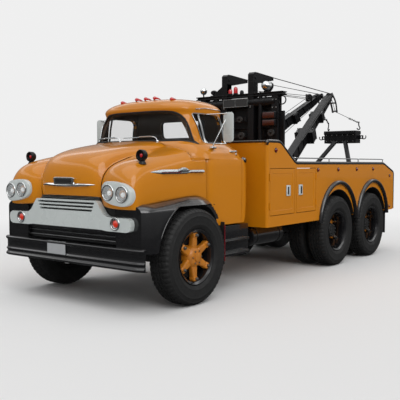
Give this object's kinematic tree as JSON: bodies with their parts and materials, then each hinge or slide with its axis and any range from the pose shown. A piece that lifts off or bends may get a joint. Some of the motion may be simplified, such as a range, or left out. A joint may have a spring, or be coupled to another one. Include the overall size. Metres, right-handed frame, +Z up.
{
  "type": "twin-boom tow truck",
  "caption": "Heavy tandem-axle tow truck with a rounded cab, side lockers and a mast with twin swinging booms over the deck.",
  "frame": {"origin": "middle of the bounding box at ground level, under the tyres", "axes": "+Y towards the tail, nose towards -Y; +X towards the driver's side; +Z up"},
  "size_m": [2.4, 7.082, 2.885],
  "materials": {
    "body_paint": "gloss",
    "black_paint": "gloss",
    "chassis_black": "satin",
    "white_paint": "gloss",
    "wheel_paint": "satin",
    "tyre": "matte",
    "glass": "clear",
    "chrome": "polished",
    "lamp_red": "gloss",
    "seat_cover": "satin",
    "cast_iron": "rough",
    "wire_rope": "rough",
    "matte_black": "matte"
  },
  "bodies": {
    "truck": {"frame_rails": "chassis_black", "crossmembers": "chassis_black", "engine_block": "cast_iron", "radiator": "matte_black", "front_axle": "chassis_black", "leaf_springs": "chassis_black", "drive_axles": "chassis_black", "drive_shafts": "chassis_black", "front_bumper": "black_paint", "front_apron": "black_paint", "grille_panel": "white_paint", "headlights": "chrome", "fenders": "body_paint", "fender_extensions": "black_paint", "cab_shell": "body_paint", "cab_glass": "glass", "bench_seat": "seat_cover", "dashboard": "body_paint", "steering_wheel": "matte_black", "marker_lamps": "lamp_red", "side_tanks": "black_paint", "wrecker_body": "body_paint", "body_sides": "body_paint", "locker_boxes": "body_paint", "arch_flares": "black_paint", "deck_rails": "chrome", "mast": "black_paint", "winches": "black_paint"},
    "left_steer": {"left_knuckle": "chassis_black"},
    "right_steer": {"right_knuckle": "chassis_black"},
    "left_front_roadwheel": {"left_front_tyre": "tyre", "left_front_wheel": "wheel_paint"},
    "right_front_roadwheel": {"right_front_tyre": "tyre", "right_front_wheel": "wheel_paint"},
    "left_first_roadwheels": {"left_first_tyres": "tyre", "left_first_wheels": "wheel_paint"},
    "left_second_roadwheels": {"left_second_tyres": "tyre", "left_second_wheels": "wheel_paint"},
    "right_first_roadwheels": {"right_first_tyres": "tyre", "right_first_wheels": "wheel_paint"},
    "right_second_roadwheels": {"right_second_tyres": "tyre", "right_second_wheels": "wheel_paint"},
    "hood_lid": {"hood": "body_paint"},
    "left_cab_door": {"left_door": "body_paint", "left_door_glass": "glass", "left_mirror": "chrome"},
    "right_cab_door": {"right_door": "body_paint", "right_door_glass": "glass", "right_mirror": "chrome"},
    "left_front_locker_lid": {"left_front_locker_door": "body_paint"},
    "left_rear_locker_lid": {"left_rear_locker_door": "body_paint"},
    "right_front_locker_lid": {"right_front_locker_door": "body_paint"},
    "right_rear_locker_lid": {"right_rear_locker_door": "body_paint"},
    "left_swivel": {"left_boom_swivel": "black_paint"},
    "left_boom_arm": {"left_boom": "black_paint", "left_boom_cables": "wire_rope"},
    "right_swivel": {"right_boom_swivel": "black_paint"},
    "right_boom_arm": {"right_boom": "black_paint", "right_boom_cables": "wire_rope"},
    "towing_bar": {"tow_bar": "black_paint"}
  },
  "joints": [
    {"name": "left_steering", "type": "hinge", "parent": "truck", "child": "left_steer", "pos_m": [0.85, -2.64, 0.5], "axis": [0, 0, 1], "range_deg": [-30, 30]},
    {"name": "right_steering", "type": "hinge", "parent": "truck", "child": "right_steer", "pos_m": [-0.85, -2.64, 0.5], "axis": [0, 0, 1], "range_deg": [-30, 30]},
    {"name": "left_front_spin", "type": "hinge", "parent": "left_steer", "child": "left_front_roadwheel", "pos_m": [1.0275, -2.64, 0.53], "axis": [1, 0, 0], "continuous": true},
    {"name": "right_front_spin", "type": "hinge", "parent": "right_steer", "child": "right_front_roadwheel", "pos_m": [-1.0275, -2.64, 0.53], "axis": [1, 0, 0], "continuous": true},
    {"name": "left_first_spin", "type": "hinge", "parent": "truck", "child": "left_first_roadwheels", "pos_m": [1.0275, 0.84, 0.53], "axis": [1, 0, 0], "continuous": true},
    {"name": "left_second_spin", "type": "hinge", "parent": "truck", "child": "left_second_roadwheels", "pos_m": [1.0275, 2.14, 0.53], "axis": [1, 0, 0], "continuous": true},
    {"name": "right_first_spin", "type": "hinge", "parent": "truck", "child": "right_first_roadwheels", "pos_m": [-1.0275, 0.84, 0.53], "axis": [1, 0, 0], "continuous": true},
    {"name": "right_second_spin", "type": "hinge", "parent": "truck", "child": "right_second_roadwheels", "pos_m": [-1.0275, 2.14, 0.53], "axis": [1, 0, 0], "continuous": true},
    {"name": "hood_lift", "type": "hinge", "parent": "truck", "child": "hood_lid", "pos_m": [0, -2.5, 1.806], "axis": [-1, 0, 0], "range_deg": [0, 55]},
    {"name": "left_door_swing", "type": "hinge", "parent": "truck", "child": "left_cab_door", "pos_m": [1.012, -2.284, 1.3], "axis": [0, 0, -1], "range_deg": [0, 65]},
    {"name": "right_door_swing", "type": "hinge", "parent": "truck", "child": "right_cab_door", "pos_m": [-1.012, -2.284, 1.3], "axis": [0, 0, 1], "range_deg": [0, 65]},
    {"name": "left_front_locker_swing", "type": "hinge", "parent": "truck", "child": "left_front_locker_lid", "pos_m": [1.154, -1.152, 1.18], "axis": [0, 0, -1], "range_deg": [0, 100]},
    {"name": "left_rear_locker_swing", "type": "hinge", "parent": "truck", "child": "left_rear_locker_lid", "pos_m": [1.154, 0.102, 1.18], "axis": [0, 0, 1], "range_deg": [0, 100]},
    {"name": "right_front_locker_swing", "type": "hinge", "parent": "truck", "child": "right_front_locker_lid", "pos_m": [-1.154, -1.152, 1.18], "axis": [0, 0, 1], "range_deg": [0, 100]},
    {"name": "right_rear_locker_swing", "type": "hinge", "parent": "truck", "child": "right_rear_locker_lid", "pos_m": [-1.154, 0.102, 1.18], "axis": [0, 0, -1], "range_deg": [0, 100]},
    {"name": "left_boom_swing", "type": "hinge", "parent": "truck", "child": "left_swivel", "pos_m": [0.52, 0.32, 1.38], "axis": [0, 0, -1], "range_deg": [0, 60]},
    {"name": "left_boom_lift", "type": "hinge", "parent": "left_swivel", "child": "left_boom_arm", "pos_m": [0.52, 0.32, 1.5], "axis": [0.9842, 0.1771, 0], "range_deg": [-6, 25]},
    {"name": "right_boom_swing", "type": "hinge", "parent": "truck", "child": "right_swivel", "pos_m": [-0.52, 0.32, 1.38], "axis": [0, 0, 1], "range_deg": [0, 60]},
    {"name": "right_boom_lift", "type": "hinge", "parent": "right_swivel", "child": "right_boom_arm", "pos_m": [-0.52, 0.32, 1.5], "axis": [0.9842, -0.1771, 0], "range_deg": [-6, 25]},
    {"name": "tow_bar_fold", "type": "hinge", "parent": "truck", "child": "towing_bar", "pos_m": [0, 2.86, 1.36], "axis": [-1, 0, 0], "range_deg": [-8, 50]}
  ],
  "couplings": [
    {"joint": "right_steering", "follows": "left_steering", "ratio": 1}
  ]
}
